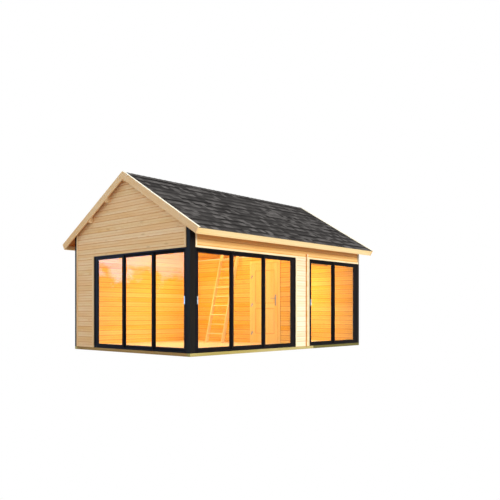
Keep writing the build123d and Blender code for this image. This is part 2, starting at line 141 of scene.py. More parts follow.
def addRings(build, rings, axes, kind=0, capKind=None, sideKinds=None, grooves=None):
    first = len(build["points"])
    count = len(rings[0])
    shift = Vector(grainShift())
    middle = sum((point for ring in rings for point in ring), Vector()) / (len(rings) * count)
    tone = dice.random()
    for ring in rings:
        build["grooves"] += grooves or [0.0] * count
        for point in ring:
            build["points"].append(point)
            local = point - middle
            build["places"].append(Vector([local.dot(axis) for axis in axes]) + shift)
            build["tones"].append(tone)
    for row in range(len(rings) - 1):
        for index in range(count):
            after = (index + 1) % count
            low = first + row * count
            high = low + count
            build["faces"].append((low + index, low + after, high + after, high + index))
            build["kinds"].append(sideKinds[index] if sideKinds else kind)
    last = first + (len(rings) - 1) * count
    endKind = kind if capKind is None else capKind
    build["faces"].append(tuple(first + index for index in reversed(range(count))))
    build["kinds"].append(endKind)
    build["faces"].append(tuple(last + index for index in range(count)))
    build["kinds"].append(endKind)


def softSection(low0, high0, low1, high1, edge):
    return [
        (low0 + edge, low1), (high0 - edge, low1), (high0, low1 + edge), (high0, high1 - edge),
        (high0 - edge, high1), (low0 + edge, high1), (low0, high1 - edge), (low0, low1 + edge),
    ]


def addBoard(build, low, high, grain, edge=0.002, kind=0, capKind=None):
    run = "xyz".index(grain)
    first, second = [index for index in range(3) if index != run]
    section = softSection(low[first], high[first], low[second], high[second], edge)
    rings = []
    for shrink, reach in ((edge, low[run]), (0, low[run] + edge), (0, high[run] - edge), (edge, high[run])):
        ring = []
        for a, b in section:
            point = Vector((0, 0, 0))
            point[run] = reach
            point[first] = min(max(a, low[first] + shrink), high[first] - shrink)
            point[second] = min(max(b, low[second] + shrink), high[second] - shrink)
            ring.append(point)
        rings.append(ring)
    addRings(build, rings, grainAxes[grain], kind, capKind)


def makePiece(build, name, materials, body, replaced, slotName, smoothAngle=None):
    mesh = bpy.data.meshes.new(name)
    mesh.from_pydata([tuple(point) for point in build["points"]], [], build["faces"])
    place = mesh.attributes.new("woodPlace", "FLOAT_VECTOR", "POINT")
    place.data.foreach_set("vector", np.array([tuple(value) for value in build["places"]], "f").ravel())
    tone = mesh.attributes.new("boardTone", "FLOAT", "POINT")
    tone.data.foreach_set("value", np.array(build["tones"], "f"))
    groove = mesh.attributes.new("grooveShade", "FLOAT", "POINT")
    groove.data.foreach_set("value", np.array(build["grooves"], "f"))
    mesh.polygons.foreach_set("material_index", build["kinds"])
    bm = bmesh.new()
    bm.from_mesh(mesh)
    bmesh.ops.dissolve_degenerate(bm, dist=1e-6, edges=bm.edges)
    bmesh.ops.recalc_face_normals(bm, faces=bm.faces)
    bm.to_mesh(mesh)
    bm.free()
    return settle(mesh, name, materials, body, replaced, slotName, smoothAngle)


def settle(mesh, name, materials, body, replaced, slotName, smoothAngle=None):
    piece = bpy.data.objects.new(name, mesh)
    bpy.context.scene.collection.objects.link(piece)
    for material in materials:
        mesh.materials.append(material)
    if smoothAngle is not None:
        mesh.polygons.foreach_set("use_smooth", [True] * len(mesh.polygons))
        mesh.set_sharp_from_angle(angle=math.radians(smoothAngle))
    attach(piece, body)
    if replaced:
        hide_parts(*replaced)
    return piece


def islandsOf(bm):
    seen = set()
    islands = []
    for start in bm.verts:
        if start.index in seen:
            continue
        seen.add(start.index)
        found = [start]
        for vert in found:
            for edge in vert.link_edges:
                other = edge.other_vert(vert)
                if other.index not in seen:
                    seen.add(other.index)
                    found.append(other)
        islands.append(found)
    return islands


# Rounds a CAD piece's edges. A second material, given with its test, goes to the faces that pass it
def softened(node, name, material, slotName, edge, smoothAngle=None, sharpAngle=25, second=None):
    bm = bmesh.new()
    bm.from_mesh(nodes[node].data)
    bmesh.ops.remove_doubles(bm, verts=bm.verts, dist=1e-5)
    bmesh.ops.dissolve_limit(bm, angle_limit=math.radians(1), verts=bm.verts, edges=bm.edges)
    sharp = [
        line for line in bm.edges
        if len(line.link_faces) == 2 and line.calc_face_angle() > math.radians(sharpAngle)
    ]
    bmesh.ops.bevel(
        bm, geom=sharp, offset=edge, segments=2, profile=0.5, affect="EDGES", clamp_overlap=True,
    )
    bm.verts.index_update()
    bm.verts.ensure_lookup_table()
    place = bm.verts.layers.float_vector.new("woodPlace")
    toneLayer = bm.verts.layers.float.new("boardTone")
    for island in islandsOf(bm):
        points = np.array([tuple(vert.co) for vert in island])
        middle = points.mean(0)
        spread = points - middle
        _, axes = np.linalg.eigh(spread.T @ spread)
        local = spread @ axes[:, ::-1]
        shift = np.array(grainShift())
        tone = dice.random()
        for vert, value in zip(island, local + shift):
            vert[place] = Vector(value)
            vert[toneLayer] = tone
    if second:
        for face in bm.faces:
            face.material_index = int(second[1](face.calc_center_median()))
    mesh = bpy.data.meshes.new(name)
    bm.to_mesh(mesh)
    bm.free()
    materials = [material, second[0]] if second else [material]
    return settle(mesh, name, materials, nodes[node]["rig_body"], [node], slotName, smoothAngle)


# Materials
def freshMaterial(name):
    made = bpy.data.materials.new(name)
    made.use_nodes = True
    tree = made.node_tree
    tree.nodes.clear()
    output = tree.nodes.new("ShaderNodeOutputMaterial")
    surface = tree.nodes.new("ShaderNodeBsdfPrincipled")
    tree.links.new(surface.outputs["BSDF"], output.inputs["Surface"])
    return made, tree, surface


def addNode(tree, kind, settings, inputs):
    node = tree.nodes.new("ShaderNode" + kind)
    for key, value in settings.items():
        setattr(node, key, value)
    for key, value in inputs.items():
        if isinstance(value, bpy.types.NodeSocket):
            tree.links.new(value, node.inputs[key])
        else:
            node.inputs[key].default_value = value
    return node


def mixColour(tree, share, first, second):
    return addNode(tree, "Mix", {"data_type": "RGBA"}, {0: share, 6: first, 7: second}).outputs[2]


def ramp(tree, value, low, high, fromValue=0.0, toValue=1.0):
    node = addNode(tree, "MapRange", {}, {0: value, 1: low, 2: high, 3: fromValue, 4: toValue})
    return node.outputs[0]


def times(tree, first, second):
    return addNode(tree, "Math", {"operation": "MULTIPLY"}, {0: first, 1: second}).outputs[0]


def woodMaterial(name, look):
    made, tree, surface = freshMaterial(name)
    place = addNode(tree, "Attribute", {"attribute_name": "woodPlace"}, {}).outputs["Vector"]
    tone = addNode(tree, "Attribute", {"attribute_name": "boardTone"}, {}).outputs["Fac"]
    long = addNode(tree, "Mapping", {}, {0: place, 3: (0.55, 5.0, 5.0)}).outputs[0]
    drift = addNode(tree, "TexNoise", {}, {"Vector": long, "Scale": 1.0, "Detail": 3.0}).outputs["Fac"]
    ringPlace = addNode(tree, "Mapping", {}, {0: place, 3: (0.12, 1.0, 1.0)}).outputs[0]
    rings = addNode(
        tree, "TexWave", {"wave_type": "RINGS", "rings_direction": "X", "wave_profile": "SAW"},
        {
            "Vector": ringPlace, "Scale": look["rings"], "Distortion": 5.0, "Detail": 3.0,
            "Detail Scale": 1.5, "Detail Roughness": 0.55,
        },
    ).outputs["Fac"]
    thin = addNode(tree, "Mapping", {}, {0: place, 3: (3.0, 260.0, 260.0)}).outputs[0]
    fibres = addNode(tree, "TexNoise", {}, {"Vector": thin, "Scale": 1.0, "Detail": 2.0}).outputs["Fac"]
    knotPlace = addNode(tree, "Mapping", {}, {0: place, 3: (1.6, 6.0, 6.0)}).outputs[0]
    knots = addNode(
        tree, "TexVoronoi", {}, {"Vector": knotPlace, "Scale": 1.0, "Randomness": 1.0},
    ).outputs["Distance"]
    streak = ramp(tree, drift, 0.42, 0.68)
    base = mixColour(tree, streak, look["pale"], look["warm"])
    lateWood = times(tree, ramp(tree, rings, 0.55, 1.0), look["ringShare"])
    base = mixColour(tree, lateWood, base, look["ring"])
    base = mixColour(tree, times(tree, ramp(tree, fibres, 0.45, 0.75), 0.22), base, look["ring"])
    knotShare = ramp(tree, knots, look["knotSize"] * 1.9, look["knotSize"] * 0.7)
    base = mixColour(tree, times(tree, knotShare, look["knotShare"]), base, look["knot"])
    board = ramp(tree, tone, 0.0, 1.0, 1.0 - look["variety"], 1.0 + look["variety"] * 0.6)
    richness = ramp(tree, tone, 0.0, 1.0, 1.06, 0.94)
    base = addNode(
        tree, "HueSaturation", {}, {"Color": base, "Value": board, "Saturation": richness},
    ).outputs[0]
    if "eaves" in look:
        # Painted shadow of the eaves: the boards turn deeper orange towards the top of the wall
        height = addNode(tree, "TexCoord", {}, {}).outputs["Object"]
        height = addNode(tree, "SeparateXYZ", {}, {0: height}).outputs["Z"]
        base = mixColour(tree, ramp(tree, height, *look["eaves"], 0.0, 0.85), base, look["sheltered"])
    groove = addNode(tree, "Attribute", {"attribute_name": "grooveShade"}, {}).outputs["Fac"]
    base = mixColour(tree, times(tree, groove, look["grooveShare"]), base, look["groove"])
    tree.links.new(base, surface.inputs["Base Color"])
    rough = ramp(tree, fibres, 0.2, 0.8, look["rough"] - 0.08, look["rough"] + 0.1)
    tree.links.new(rough, surface.inputs["Roughness"])
    surface.inputs["Specular IOR Level"].default_value = look["shine"]
    relief = addNode(
        tree, "Math", {"operation": "ADD"}, {0: times(tree, fibres, 0.6), 1: times(tree, rings, 0.4)},
    ).outputs[0]
    bump = addNode(
        tree, "Bump", {}, {"Strength": look["bump"], "Distance": 0.0012, "Height": relief},
    ).outputs[0]
    tree.links.new(bump, surface.inputs["Normal"])
    return made


pineLook = {
    "pale": tint(254, 222, 172), "warm": tint(248, 204, 144), "ring": tint(228, 162, 92),
    "knot": tint(180, 124, 72), "ringShare": 0.4, "knotSize": 0.075, "knotShare": 0.3,
    "rings": 34.0, "variety": 0.035, "rough": 0.6, "shine": 0.1, "bump": 0.5,
    "groove": tint(210, 124, 52), "grooveShare": 1.0,
}
gablePine = woodMaterial("gablePine", pineLook)
# A sunlit copy of the gable pine, paler and creamier: painted sunlight for the pier wall
sunlitSidePine = woodMaterial("sunlitSidePine", {
    **pineLook, "pale": tint(250, 238, 212), "warm": tint(244, 226, 188), "ring": tint(228, 192, 132),
    "groove": tint(214, 150, 74), "knotShare": 0.15,
})
# A shaded copy of the pine for the header under the eaves: deeper orange as painted shade
shadedHeaderPine = woodMaterial("shadedHeaderPine", {
    **pineLook, "pale": tint(254, 214, 144), "warm": tint(250, 200, 120), "ring": tint(234, 166, 82),
    "groove": tint(204, 118, 40), "knotShare": 0.2, "eaves": (2.2, 2.42), "sheltered": tint(252, 172, 78),
})
# More orange than the outside pine: partly the wood's honey tone, partly painted warm lamplight
warmLitInsidePine = woodMaterial("warmLitInsidePine", {
    **pineLook, "pale": tint(252, 214, 108), "warm": tint(246, 198, 84), "ring": tint(228, 156, 44),
    "variety": 0.03, "groove": tint(186, 84, 0), "grooveShare": 1.0, "knotShare": 0.2,
})
trimPine = woodMaterial("trimPine", {
    **pineLook, "pale": tint(254, 230, 180), "warm": tint(250, 218, 158), "ring": tint(232, 182, 108),
    "variety": 0.02, "knotShare": 0.15,
})
ladderPine = woodMaterial("ladderPine", {
    **pineLook, "pale": tint(249, 226, 176), "warm": tint(248, 216, 155), "ring": tint(238, 192, 119),
    "knotShare": 0.05,
})
liningPine = woodMaterial("liningPine", {
    **pineLook, "pale": tint(254, 228, 150), "warm": tint(250, 216, 128), "ring": tint(238, 186, 88),
    "knotShare": 0.05,
})
doorPine = woodMaterial("doorPine", {
    **pineLook, "pale": tint(255, 228, 158), "warm": tint(253, 215, 134), "ring": tint(240, 184, 92),
    "variety": 0.02, "knotShare": 0.1,
})
# Dark orange for the roof boards outside the walls: painted shade under the overhangs
shadedSoffitPine = woodMaterial("shadedSoffitPine", {
    **pineLook, "pale": tint(206, 124, 46), "warm": tint(190, 104, 32), "ring": tint(150, 74, 16),
    "groove": tint(110, 52, 12),
})
bargePine = woodMaterial("bargePine", {
    **pineLook, "pale": tint(252, 218, 168), "warm": tint(244, 200, 144), "ring": tint(216, 150, 84),
    "ringShare": 0.6, "variety": 0.02, "knotShare": 0.2,
})
battenPine = woodMaterial("battenPine", {
    **pineLook, "pale": tint(254, 238, 202), "warm": tint(251, 229, 186), "ring": tint(240, 206, 150),
    "variety": 0.02, "knotShare": 0.15,
})
# Near white for the cap strips on the bargeboards: painted highlight of their lit top edges
highlightCapPine = woodMaterial("highlightCapPine", {
    **pineLook, "pale": tint(255, 250, 232), "warm": tint(253, 244, 216), "ring": tint(244, 224, 180),
    "knotShare": 0.1,
})
# Deep orange: painted shade, for the shaded sides of the log ends and the shadow lines round the door panels
paintedShadePine = woodMaterial("paintedShadePine", {
    **pineLook, "pale": tint(244, 186, 112), "warm": tint(236, 168, 90), "ring": tint(206, 128, 56),
})
# Very pale floor boards: painted sunlight on the floor
paintedSunFloorPine = woodMaterial("paintedSunFloorPine", {
    **pineLook, "pale": tint(255, 247, 220), "warm": tint(253, 240, 202), "ring": tint(244, 220, 168),
    "rough": 0.42, "shine": 0.45, "groove": tint(190, 120, 50),
})
# Treated timber in a sunlit copy for the side beams and a browner shaded copy for the cross beams: painted
# light and painted shade
sunlitTreatedTimber = woodMaterial("sunlitTreatedTimber", {
    **pineLook, "pale": tint(198, 182, 122), "warm": tint(178, 162, 98), "ring": tint(138, 122, 66),
    "knot": tint(70, 62, 32), "rough": 0.7, "variety": 0.06,
})
shadedCrossTimber = woodMaterial("shadedCrossTimber", {
    **pineLook, "pale": tint(180, 144, 84), "warm": tint(160, 122, 64), "ring": tint(122, 88, 40),
    "knot": tint(70, 56, 32), "rough": 0.7, "variety": 0.06,
})
# Dark olive: painted cast shadow on the back end of the side beams
shadedTimber = woodMaterial("shadedTimber", {
    **pineLook, "pale": tint(116, 108, 58), "warm": tint(98, 92, 44), "ring": tint(70, 64, 28),
    "knot": tint(50, 44, 22), "rough": 0.7, "variety": 0.06,
})
blackTimber = woodMaterial("blackTimber", {
    **pineLook, "pale": tint(34, 31, 28), "warm": tint(30, 27, 24), "ring": tint(20, 17, 15),
    "knot": tint(8, 8, 8), "knotShare": 0.4, "rough": 0.5, "variety": 0.05, "shine": 0.03,
})


def aluminiumMaterial(name, look):
    made, tree, surface = freshMaterial(name)
    place = addNode(tree, "TexCoord", {}, {}).outputs["Object"]
    speckle = addNode(tree, "TexNoise", {}, {"Vector": place, "Scale": 900.0, "Detail": 2.0}).outputs["Fac"]
    cloud = addNode(tree, "TexNoise", {}, {"Vector": place, "Scale": 3.0, "Detail": 4.0}).outputs["Fac"]
    colour = mixColour(tree, ramp(tree, cloud, 0.35, 0.65), look["colour"], look["worn"])
    tree.links.new(colour, surface.inputs["Base Color"])
    rough = ramp(tree, cloud, 0.3, 0.7, look["rough"] - 0.05, look["rough"] + 0.07)
    tree.links.new(rough, surface.inputs["Roughness"])
    surface.inputs["Metallic"].default_value = look["metal"]
    surface.inputs["Specular IOR Level"].default_value = look["shine"]
    bump = addNode(tree, "Bump", {}, {"Strength": 0.25, "Distance": 0.0003, "Height": speckle}).outputs[0]
    tree.links.new(bump, surface.inputs["Normal"])
    return made


blackAluminium = aluminiumMaterial("blackAluminium", {
    "colour": tint(26, 24, 25), "worn": tint(32, 29, 30), "rough": 0.42, "metal": 0.0, "shine": 0.018,
})
rubber = aluminiumMaterial("rubber", {
    "colour": tint(18, 18, 18), "worn": tint(24, 24, 24), "rough": 0.75, "metal": 0.0, "shine": 0.25,
})


def steelMaterial(name, look):
    made, tree, surface = freshMaterial(name)
    place = addNode(tree, "TexCoord", {}, {}).outputs["Object"]
    brushed = addNode(tree, "Mapping", {}, {0: place, 3: (900.0, 900.0, 12.0)}).outputs[0]
    lines = addNode(tree, "TexNoise", {}, {"Vector": brushed, "Scale": 1.0, "Detail": 2.0}).outputs["Fac"]
    colour = mixColour(tree, ramp(tree, lines, 0.3, 0.7), look["colour"], look["worn"])
    tree.links.new(colour, surface.inputs["Base Color"])
    rough = ramp(tree, lines, 0.3, 0.7, look["rough"] - 0.06, look["rough"] + 0.06)
    tree.links.new(rough, surface.inputs["Roughness"])
    surface.inputs["Metallic"].default_value = look["metal"]
    bump = addNode(tree, "Bump", {}, {"Strength": 0.2, "Distance": 0.0002, "Height": lines}).outputs[0]
    tree.links.new(bump, surface.inputs["Normal"])
    return made


steel = steelMaterial("steel", {
    "colour": tint(168, 180, 186), "worn": tint(150, 163, 170), "rough": 0.36, "metal": 0.7,
})


def glassMaterial(name, look):
    made = bpy.data.materials.new(name)
    made.use_nodes = True
    tree = made.node_tree
    tree.nodes.clear()
    output = tree.nodes.new("ShaderNodeOutputMaterial")
    place = addNode(tree, "TexCoord", {}, {}).outputs["Object"]
    smear = addNode(tree, "TexNoise", {}, {"Vector": place, "Scale": 2.5, "Detail": 3.0}).outputs["Fac"]
    path = addNode(tree, "LightPath", {}, {}).outputs["Is Shadow Ray"]
    passed = mixColour(tree, path, look["clear"], look["shadow"])
    clear = addNode(tree, "BsdfTransparent", {}, {"Color": passed}).outputs[0]
    rough = ramp(tree, smear, 0.3, 0.7, 0.0, look["smear"])
    mirror = addNode(tree, "BsdfAnisotropic", {}, {"Color": look["mirror"], "Roughness": rough}).outputs[0]
    facing = addNode(tree, "LayerWeight", {}, {"Blend": 0.5}).outputs["Facing"]
    grazing = addNode(tree, "Math", {"operation": "POWER"}, {0: facing, 1: look["falloff"]}).outputs[0]
    mirrored = ramp(tree, grazing, 0.0, 1.0, look["straight"], look["grazing"])
    behind = addNode(tree, "NewGeometry", {}, {}).outputs["Backfacing"]
    hidden = addNode(tree, "Math", {"operation": "MAXIMUM"}, {0: path, 1: behind}).outputs[0]
    seen = addNode(tree, "Math", {"operation": "SUBTRACT"}, {0: 1.0, 1: hidden}).outputs[0]
    share = times(tree, mirrored, seen)
    mixed = addNode(tree, "MixShader", {}, {0: share, 1: clear, 2: mirror}).outputs[0]
    tree.links.new(mixed, output.inputs["Surface"])
    return made


paneGlass = glassMaterial("paneGlass", {
    "clear": tint(252, 254, 252), "mirror": tint(255, 255, 255), "shadow": tint(190, 190, 190),
    "straight": 0.014, "grazing": 0.95, "falloff": 4.0, "smear": 0.008,
})


def shingleMaterial(name, look):
    made, tree, surface = freshMaterial(name)
    place = addNode(tree, "TexCoord", {}, {}).outputs["Object"]
    tone = addNode(tree, "Attribute", {"attribute_name": "boardTone"}, {}).outputs["Fac"]
    grit = addNode(tree, "TexVoronoi", {}, {"Vector": place, "Scale": 420.0}).outputs["Color"]
    gritShade = addNode(tree, "SeparateColor", {}, {0: grit}).outputs[0]
    cloud = addNode(tree, "TexNoise", {}, {"Vector": place, "Scale": 5.0, "Detail": 4.0}).outputs["Fac"]
    base = mixColour(tree, tone, look["dark"], look["light"])
    base = mixColour(tree, times(tree, gritShade, 0.3), base, look["grit"])
    base = mixColour(tree, times(tree, ramp(tree, cloud, 0.4, 0.7), 0.35), base, look["dark"])
    tree.links.new(base, surface.inputs["Base Color"])
    tree.links.new(ramp(tree, gritShade, 0.0, 1.0, 0.8, 0.95), surface.inputs["Roughness"])
    surface.inputs["Specular IOR Level"].default_value = 0.0
    bump = addNode(tree, "Bump", {}, {"Strength": 0.6, "Distance": 0.0015, "Height": gritShade}).outputs[0]
    tree.links.new(bump, surface.inputs["Normal"])
    return made


roofShingle = shingleMaterial("roofShingle", {
    "dark": tint(30, 29, 29), "light": tint(124, 121, 120), "grit": tint(68, 66, 66),
})
print("materials made")


# Log walls: one log for each course, with a chamfered joint and a shallow middle groove
logs = {
    "pitch": 0.117, "joint": 0.0068, "jointDepth": 0.006, "middle": 0.0045, "middleDepth": 0.003,
    "endEdge": 0.004,
}


def logDepth(height):
    place = (height - house["baseTop"]) % logs["pitch"]
    fromJoint = min(place, logs["pitch"] - place)
    if fromJoint < logs["joint"]:
        return logs["jointDepth"] * (1 - fromJoint / logs["joint"])
    fromMiddle = abs(place - logs["pitch"] / 2)
    return logs["middleDepth"] * max(0, 1 - fromMiddle / logs["middle"])


def logRows(low, high, breaks):
    start = math.floor((low - house["baseTop"]) / logs["pitch"] + 1e-6)
    joint = house["baseTop"] + start * logs["pitch"]
    while joint < high - 1e-4:
        top = joint + logs["pitch"]
        middle = joint + logs["pitch"] / 2
        marks = [
            joint, joint + logs["joint"], middle - logs["middle"], middle, middle + logs["middle"],
            top - logs["joint"], top, *[value for value in breaks if joint < value < top],
        ]
        rows = []
        for mark in sorted({round(min(max(mark, low), high), 5) for mark in marks}):
            depth = logDepth(mark)
            if abs(mark - joint) < 1e-4 or abs(mark - top) < 1e-4:
                depth = logs["jointDepth"]
            rows.append((mark, depth))
        if rows[-1][0] - rows[0][0] > 0.002:
            yield rows
        joint = top


def logWall(name, node, run, outerSide, materials, slotName, outlineTop=False):
    low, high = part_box(node)
    build = newBuild()
    along = 0 if run == "x" else 1
    out = 1 - along
    outer, inner = (high[out], low[out]) if outerSide > 0 else (low[out], high[out])

    def reach(z):
        start, end = low[along], high[along]
        if outlineTop:
            limit = (ridgeUnderside - z) / rise
            start, end = max(start, -limit), min(end, limit)
        return start, max(end, start + 0.001)

    breaks = []
    if outlineTop:
        breaks = [ridgeUnderside - abs(value) * rise for value in (low[along], high[along])]
    for rows in logRows(low.z, high.z, breaks):
        faces = [[], []]
        for z, depth in rows:
            ends = reach(z)
            for face, (place, sign) in enumerate(((outer, -outerSide), (inner, outerSide))):
                top = z
                if not outlineTop and run == "y":
                    top = min(z, ridgeUnderside - abs(place) * rise)
                for end in range(2):
                    point = Vector((0, 0, top))
                    point[along] = ends[end]
                    point[out] = place + sign * depth
                    faces[face].append((end, point))
        outerRing = [point for end, point in faces[0] if end == 0]
        innerRing = [point for end, point in faces[1] if end == 0]
        farOuter = [point for end, point in faces[0] if end == 1]
        farInner = [point for end, point in faces[1] if end == 1]
        near = outerRing + innerRing[::-1]
        far = farOuter + farInner[::-1]
        count = len(outerRing)
        kinds = [0] * count + [1] * (count - 1) + [0]
        shade = [depth / logs["jointDepth"] for z, depth in rows]
        addRings(build, [near, far], grainAxes[run], sideKinds=kinds, grooves=shade + shade[::-1])
    return makePiece(build, name, materials, "building", [node], slotName)


gableFaces = [gablePine, warmLitInsidePine]
sunlitSideFaces = [sunlitSidePine, warmLitInsidePine]
shadedHeaderFaces = [shadedHeaderPine, warmLitInsidePine]
insideFaces = [warmLitInsidePine, warmLitInsidePine]
wallTable = (
    ("front_left_logs", "front_left_wall", "x", -1, gableFaces, False),
    ("front_gable_logs", "front_gable_wall", "x", -1, gableFaces, True),
    ("back_logs", "back_wall", "x", 1, gableFaces, True),
    ("left_logs", "left_wall", "y", -1, gableFaces, False),
    ("right_header_logs", "right_header_wall", "y", 1, shadedHeaderFaces, False),
    ("right_pier_logs", "right_pier_wall", "y", 1, sunlitSideFaces, False),
    ("partition_left_logs", "partition_left_wall", "x", -1, insideFaces, False),
    ("partition_right_logs", "partition_right_wall", "x", -1, insideFaces, False),
    ("partition_door_head_logs", "partition_over_door", "x", -1, insideFaces, False),
)
for pieceName, node, run, outerSide, faces, outlineTop in wallTable:
    logWall(pieceName, node, run, outerSide, faces, "pine", outlineTop)

# Ends of the partition's logs, standing out of both long walls: their sides are painted deep orange as
# painted shade, their ends take the pale batten pine
logEnds = newBuild()
endLow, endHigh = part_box("partition_log_ends")
for side in (-1, 1):
    edges = sorted((side * house["halfWidth"], side * endHigh.x))
    for rows in logRows(endLow.z, endHigh.z, []):
        foot, head = rows[0][0], rows[-1][0]
        low, high = (edges[0], endLow.y, foot), (edges[1], endHigh.y, head)
        addBoard(logEnds, low, high, "x", logs["endEdge"], kind=0, capKind=1)
makePiece(logEnds, "partition_log_stubs", [paintedShadePine, battenPine], "building", ["partition_log_ends"], "pine")
print("log walls made")

# Softened timber that keeps the frame's own shapes
trimming = {"capStripFoot": 0.0305, "gableCorner": 1.7, "nearCorner": -2.7}


def onCapStrip(point):
    out = (point.z - ridgeUnderside) * math.cos(pitch) + abs(point.x) * math.sin(pitch)
    return out > trimming["capStripFoot"]


def onCorner(point):
    if point.y < trimming["nearCorner"]:
        return True
    return abs(point.y) > house["halfLength"] and abs(point.x) > trimming["gableCorner"]


posts = ("corner_post_front_left", "corner_post_front_right", "corner_posts_back")
bargeboards = [f"bargeboard_{end}_{side}" for end in ("front", "back") for side in ("left", "right")]
timberTable = (
    (blackTimber, None, "black_timber", 0.004, posts),
    (shadedCrossTimber, None, "treated_timber", 0.004, ["foundation_cross_beams"]),
    (bargePine, (highlightCapPine, onCapStrip), "trim_pine", 0.003, bargeboards),
    (trimPine, None, "trim_pine", 0.003, ["eaves_fascias"]),
    (battenPine, (gablePine, onCorner), "trim_pine", 0.003, ["wall_battens"]),
    (gablePine, None, "pine", 0.004, ["side_purlins", "ridge_purlin"]),
    (warmLitInsidePine, None, "pine", 0.004, ["loft_joists"]),
    (ladderPine, None, "pine", 0.004, ["ladder_stringers"]),
    (ladderPine, None, "pine", 0.003, ["ladder_treads"]),
    (liningPine, None, "pine", 0.002, ["room_door_frame"]),
    (doorPine, None, "pine", 0.003, ["room_door_leaf"]),
)
for material, second, slotName, edge, timbers in timberTable:
    for node in timbers:
        softened(node, node + "_timber", material, slotName, edge, second=second)
print("softened timber made")


def islandBoxes(node):
    bm = bmesh.new()
    bm.from_mesh(nodes[node].data)
    bmesh.ops.remove_doubles(bm, verts=bm.verts, dist=1e-5)
    bm.verts.index_update()
    boxes = []
    for island in islandsOf(bm):
        low = Vector([min(vert.co[axis] for vert in island) for axis in range(3)])
        high = Vector([max(vert.co[axis] for vert in island) for axis in range(3)])
        boxes.append((low, high))
    bm.free()
    return boxes


# Foundation beams, each laid in three lengths that butt together; the back length is painted dark olive as a
# painted cast shadow
beams = {"joints": (-1.05, 0.98), "gap": 0.0006, "edge": 0.004}
beamBuild = newBuild()
for low, high in islandBoxes("foundation_side_beams"):
    marks = [low.y, *beams["joints"], high.y]
    for index, (start, end) in enumerate(zip(marks, marks[1:])):
        near, far = (low.x, start + beams["gap"], low.z), (high.x, end - beams["gap"], high.z)
        addBoard(beamBuild, near, far, "y", beams["edge"], int(index == 2))
beamFaces = [sunlitTreatedTimber, shadedTimber]
makePiece(
    beamBuild, "foundation_side_timbers", beamFaces, "building", ["foundation_side_beams"], "treated_timber",
)

# Mouldings in the recesses of the room door, on both faces, painted deep orange as painted shadow lines
# round the panels
mouldings = {
    "side": 0.11, "panels": ((0.33, 0.96), (1.08, 1.90)), "sink": 0.008, "low": 0.003, "width": 0.014,
    "edge": 0.0015,
}
doorLow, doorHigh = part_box("room_door_leaf")
mouldingBuild = newBuild()
for face, way in ((doorLow.y, 1), (doorHigh.y, -1)):
    y0, y1 = sorted((face + way * mouldings["low"], face + way * mouldings["sink"]))
    x0, x1 = doorLow.x + mouldings["side"], doorHigh.x - mouldings["side"]
    width, edge = mouldings["width"], mouldings["edge"]
    for z0, z1 in mouldings["panels"]:
        for foot in (z0, z1 - width):
            addBoard(mouldingBuild, (x0, y0, foot), (x1, y1, foot + width), "x", edge)
        for start in (x0, x1 - width):
            addBoard(mouldingBuild, (start, y0, z0 + width), (start + width, y1, z1 - width), "z", edge)
makePiece(mouldingBuild, "room_door_mouldings", [paintedShadePine], "room_door", [], "pine")
print("beams and mouldings made")

# Metal work
sliders = ("gable_slider", "side_slider", "back_room_slider")
sashes = ("gable_leading", "gable_middle", "side_leading", "side_middle", "back_room_leading")
metalTable = (
    (blackAluminium, "black_aluminium", 0.0012, [slider + "_frame" for slider in sliders]),
    (blackAluminium, "black_aluminium", 0.0015, [sash + "_sash" for sash in sashes] + ["fixed_sashes"]),
    (steel, "steel", 0.0035, [slider + "_handle" for slider in sliders]),
    (steel, "steel", 0.001, ["room_door_handles"]),
    (steel, "steel", 0.0008, ["door_hinges_lower", "door_hinges_upper"]),
)
for material, slotName, edge, metals in metalTable:
    for node in metals:
        softened(node, node + "_metal", material, slotName, edge, smoothAngle=35, sharpAngle=40)
print("metal work made")

# Panes keep the frame's shape
for node in nodes:
    if node.endswith("_glass"):
        slots = nodes[node].data.materials
        slots.clear()
        slots.append(paneGlass)

# Thin seals between the beads and the glass, on both faces of every pane
seals = {"inset": 0.009, "width": 0.0035, "height": 0.0016, "edge": 0.0006}


def addSeals(build, low, high):
    thin = 1 if high.y - low.y < high.x - low.x else 0
    wide = 1 - thin
    inset, width = seals["inset"], seals["width"]
    height = seals["height"]
    for face, out in ((low[thin] - height, low[thin]), (high[thin], high[thin] + height)):
        for z0 in (low.z + inset, high.z - inset - width):
            start, end = Vector((0, 0, z0)), Vector((0, 0, z0 + width))
            start[thin], end[thin] = face, out
            start[wide], end[wide] = low[wide] + inset, high[wide] - inset
            addBoard(build, start, end, "xyz"[wide], seals["edge"])
        for place in (low[wide] + inset, high[wide] - inset - width):
            start, end = Vector((0, 0, low.z + inset + width)), Vector((0, 0, high.z - inset - width))
            start[thin], end[thin] = face, out
            start[wide], end[wide] = place, place + width
            addBoard(build, start, end, "z", seals["edge"])


for node in sorted(nodes):
    if node.endswith("_glass"):
        build = newBuild()
        for low, high in islandBoxes(node):
            addSeals(build, low, high)
        name = node.replace("_glass", "_seals")
        makePiece(build, name, [rubber], nodes[node]["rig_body"], [], "black_aluminium")
print("panes made")

# Floor and loft deck, one board at a time
flooring = {"width": 0.117, "gap": 0.0009, "edge": 0.0024}


def deckBoards(build, edges, spansAt, grain, foot, head, cuts):
    start, end = edges
    count = round((end - start) / flooring["width"])
    joints = [start + (end - start) * index / count for index in range(count + 1)]
    marks = sorted({round(value, 5) for value in [*joints, *[cut for cut in cuts if start < cut < end]]})
    for first, second in zip(marks, marks[1:]):
        if second - first < 0.004:
            continue
        for near, far in spansAt((first + second) / 2):
            low = (first + flooring["gap"], near, foot)
            high = (second - flooring["gap"], far, head)
            if grain == "x":
                low = (near, low[0], foot)
                high = (far, high[0], head)
            addBoard(build, low, high, grain, flooring["edge"])


